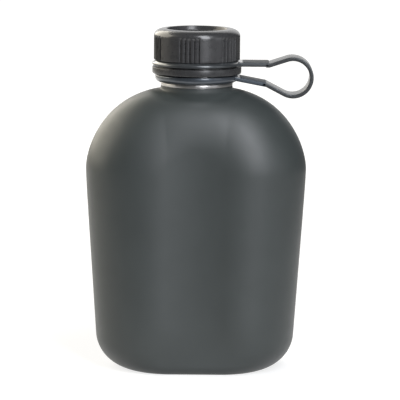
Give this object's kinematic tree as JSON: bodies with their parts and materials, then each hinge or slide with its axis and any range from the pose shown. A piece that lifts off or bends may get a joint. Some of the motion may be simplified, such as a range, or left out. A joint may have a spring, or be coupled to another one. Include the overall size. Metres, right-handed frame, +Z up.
{
  "type": "field canteen",
  "caption": "Hip-shaped metal field canteen with a screw cap on a short neck and a looped strap that keeps the cap on the flask.",
  "frame": {"origin": "on the neck's axis, in the plane that the flask stands on", "axes": "+Z up along the neck, -Y out of the hollow hip side that the picture shows, +X towards the cap strap's loop"},
  "size_m": [0.1367, 0.074, 0.2066],
  "materials": {
    "powder_coat_grey": "satin powder coat over sheet steel",
    "bare_steel": "bare, turned and polished",
    "strap_plastic_blue_black": "smooth, soft, slightly bluish black",
    "moulded_plastic_black": "moulded, semi-gloss",
    "gasket_rubber": "matte"
  },
  "bodies": {
    "bottle": {"bottle_shell": "powder_coat_grey", "neck_collar": "bare_steel"},
    "seal": {"cap_gasket": "gasket_rubber"},
    "cap": {"cap": "moulded_plastic_black"},
    "strap_lower": {"strap_lower_ring": "strap_plastic_blue_black", "strap_loop": "strap_plastic_blue_black"},
    "strap_upper": {"strap_upper_ring": "strap_plastic_blue_black"}
  },
  "joints": [
    {"name": "cap_lift", "type": "slide", "parent": "bottle", "child": "seal", "axis": [0, 0, 1], "range_m": [0, 0.015]},
    {"name": "cap_turn", "type": "hinge", "parent": "seal", "child": "cap", "pos_m": [0, 0, 0.19], "axis": [0, 0, 1], "range_deg": [0, 1080]},
    {"name": "strap_swivel", "type": "hinge", "parent": "bottle", "child": "strap_lower", "pos_m": [0, 0, 0.176], "axis": [0, 0, 1], "continuous": true},
    {"name": "strap_lift", "type": "slide", "parent": "strap_lower", "child": "strap_upper", "axis": [0, 0, 1], "range_m": [0, 0.015], "deforming": ["strap_loop"]}
  ],
  "couplings": [
    {"joint": "cap_lift", "follows": "cap_turn", "m_per_rad": 0.00079577},
    {"joint": "strap_lift", "follows": "cap_turn", "m_per_rad": 0.00079577}
  ]
}
